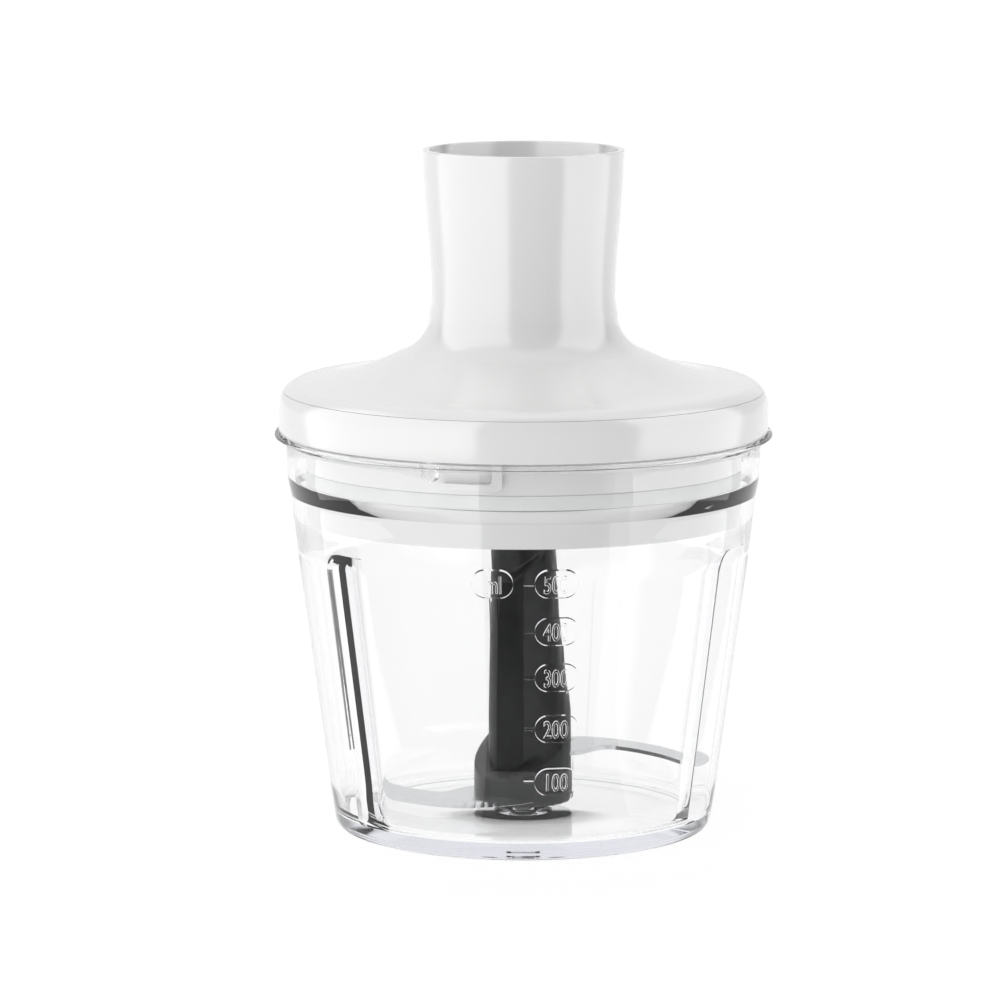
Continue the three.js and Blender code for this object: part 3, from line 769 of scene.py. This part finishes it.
def wall_patch(left, right, middle, height, rise, rounded):
    """A raised patch that follows the wall, given in mm along it, with round or square ends."""
    r = height / 2.0
    stops = [left + (right - left) * i / 30.0 for i in range(31)]
    if rounded:
        turns = [math.radians(90.0 * i / 8.0) for i in range(9)]
        stops = [left + r - r * math.cos(t) for t in turns]
        stops += [left + r + (right - left - height) * i / 12.0 for i in range(1, 12)]
        stops += [right - r + r * math.sin(t) for t in turns]
    points = []
    for along in stops:
        over = max(0.0, left + r - along, along - (right - r))
        half = math.sqrt(max(0.0025, r * r - over * over)) if rounded else r
        azimuth = math.degrees(along / wall_outer(middle))
        root = half + PATCH_SLOPE
        for depth, side in ((-PATCH_ROOT, -root), (rise, -half), (rise, half), (-PATCH_ROOT, root)):
            z = middle + side
            points.append(on_azimuth(wall_outer(z) + depth, azimuth, z))
    last = 4 * (len(stops) - 1)
    faces = [(0, 1, 2, 3), (last + 3, last + 2, last + 1, last)]
    for i in range(0, last, 4):
        faces += [(i + k, i + 4 + k, i + 4 + (k + 1) % 4, i + (k + 1) % 4) for k in range(4)]
    return points, faces


def mark_piece(finish):
    """Raised pills and level lines on the front of the bowl."""
    parts = [wall_patch(-13.1, -2.6, LEVELS[0][1], PILL_HEIGHT, PILL_RISE, True)]
    for _, z in LEVELS:
        parts.append(wall_patch(2.9, 14.0, z, PILL_HEIGHT, PILL_RISE, True))
        parts.append(wall_patch(0.1, 2.6, z, 0.4, PILL_RISE, False))
    points, faces = gather(parts)
    return add_mesh("level_marks", points, faces, finish, 40.0)


def figure_piece(text, left, z, finish):
    """Raised lettering bent round the wall, its middle at a height and its left side at mm along it."""
    curve = bpy.data.curves.new(text, "FONT")
    curve.body = text
    curve.size = FIGURE_HEIGHT * 1.38
    curve.extrude = FIGURE_HALF
    curve.bevel_depth = FIGURE_EDGE
    curve.bevel_resolution = 0
    curve.resolution_u = 4
    curve.offset = -0.05
    carrier = bpy.data.objects.new(text, curve)
    bpy.context.scene.collection.objects.link(carrier)
    bpy.context.view_layer.update()
    shape = bpy.data.meshes.new_from_object(carrier)
    bpy.data.objects.remove(carrier)
    weld = bmesh.new()
    weld.from_mesh(shape)
    bmesh.ops.remove_doubles(weld, verts=weld.verts, dist=0.002)
    weld.to_mesh(shape)
    weld.free()
    points = []
    for v in shape.vertices:
        height = z + v.co.y - 0.5 * FIGURE_HEIGHT
        azimuth = math.degrees((left + v.co.x * FIGURE_NARROW) / wall_outer(z))
        sunk = v.co.z - FIGURE_HALF - FIGURE_EDGE if v.co.z > 0.0 else -2.0 * FIGURE_HALF
        points.append(on_azimuth(wall_outer(height) + FIGURE_RISE + sunk, azimuth, height))
    faces = [tuple(p.vertices) for p in shape.polygons]
    return add_mesh("figure_" + text, points, faces, finish, 40.0)


def join_solids(base, others):
    """Unites pieces with the base as one solid and drops them."""
    for other in others:
        union = base.modifiers.new("union", "BOOLEAN")
        union.operation = "UNION"
        union.solver = "MANIFOLD"
        union.object = other
    bpy.context.view_layer.update()
    graph = bpy.context.evaluated_depsgraph_get()
    whole = bpy.data.meshes.new_from_object(base.evaluated_get(graph))
    base.modifiers.clear()
    base.data = whole
    whole.set_sharp_from_angle(angle=math.radians(22.0))
    for other in others:
        bpy.data.objects.remove(other)


# ---- build -------------------------------------------------------------

def dress_nodes(finishes):
    for row in frame["record"]["subparts"]:
        node = frame["nodes"][row["node"]]
        node.data.materials.clear()
        node.data.materials.append(finishes[row["material_slot"]])


def place(piece, body, slot, *nodes):
    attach(piece, body)
    if nodes:
        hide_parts(*nodes)


def build():
    bpy.context.scene.view_settings.view_transform = "Standard"
    add_camera()
    add_world()
    add_floor(floor_finish())
    for name, azimuths, heights, distances, glow, through in CARDS:
        add_card(name, azimuths, heights, distances, glow, through)
    finishes = {
        "clear_plastic": clear_plastic(),
        "white_plastic": white_plastic(),
        "charcoal_plastic": charcoal_plastic(),
        "blade_steel": metal("blade_steel", (0.74, 0.75, 0.76), 0.16, (1.0, 14.0, 1.0)),
        "steel": metal("steel", (0.6, 0.61, 0.63), 0.22, (1.0, 1.0, 20.0)),
        "acetal": moulded("acetal", (0.78, 0.76, 0.69), (0.83, 0.81, 0.75), 0.4, 300.0),
        "seal_rubber": moulded("seal_rubber", (0.8, 0.81, 0.81), (0.85, 0.86, 0.86), 0.5, 500.0),
        "bronze": metal("bronze", (0.55, 0.38, 0.2), 0.38, (1.0, 1.0, 1.0), 1500.0),
    }
    dress_nodes(finishes)
    clear, white = finishes["clear_plastic"], finishes["white_plastic"]
    shell = bowl_piece(clear)
    figures = [figure_piece(str(value), 5.0, z, clear) for value, z in LEVELS]
    figures.append(figure_piece("ml", -9.6, LEVELS[0][1], clear))
    join_solids(shell, [mark_piece(clear), lug_piece(clear)] + figures)
    place(shell, "bowl", "clear_plastic", "bowl")
    place(cover_piece(white), "lid", "white_plastic", "lid_cover")
    place(lathe("lid_ring", base_profile(), white, 256, 30.0), "lid", "white_plastic", "lid_base")
    place(hook_piece(white), "lid", "white_plastic", "lid_base")
    place(seal_piece(finishes["seal_rubber"]), "lid_seal", "seal_rubber", "lid_seal")
    place(hub_piece(finishes["charcoal_plastic"]), "blade_unit", "charcoal_plastic", "blade_hub")
    steel = finishes["blade_steel"]
    high = blade_piece("blade_high", UPPER_LOW, False, False, steel)
    place(high, "blade_unit", "blade_steel", "upper_blade")
    low = blade_piece("blade_low", LOWER_LOW, True, True, steel)
    place(low, "blade_unit", "blade_steel", "lower_blade")


build()
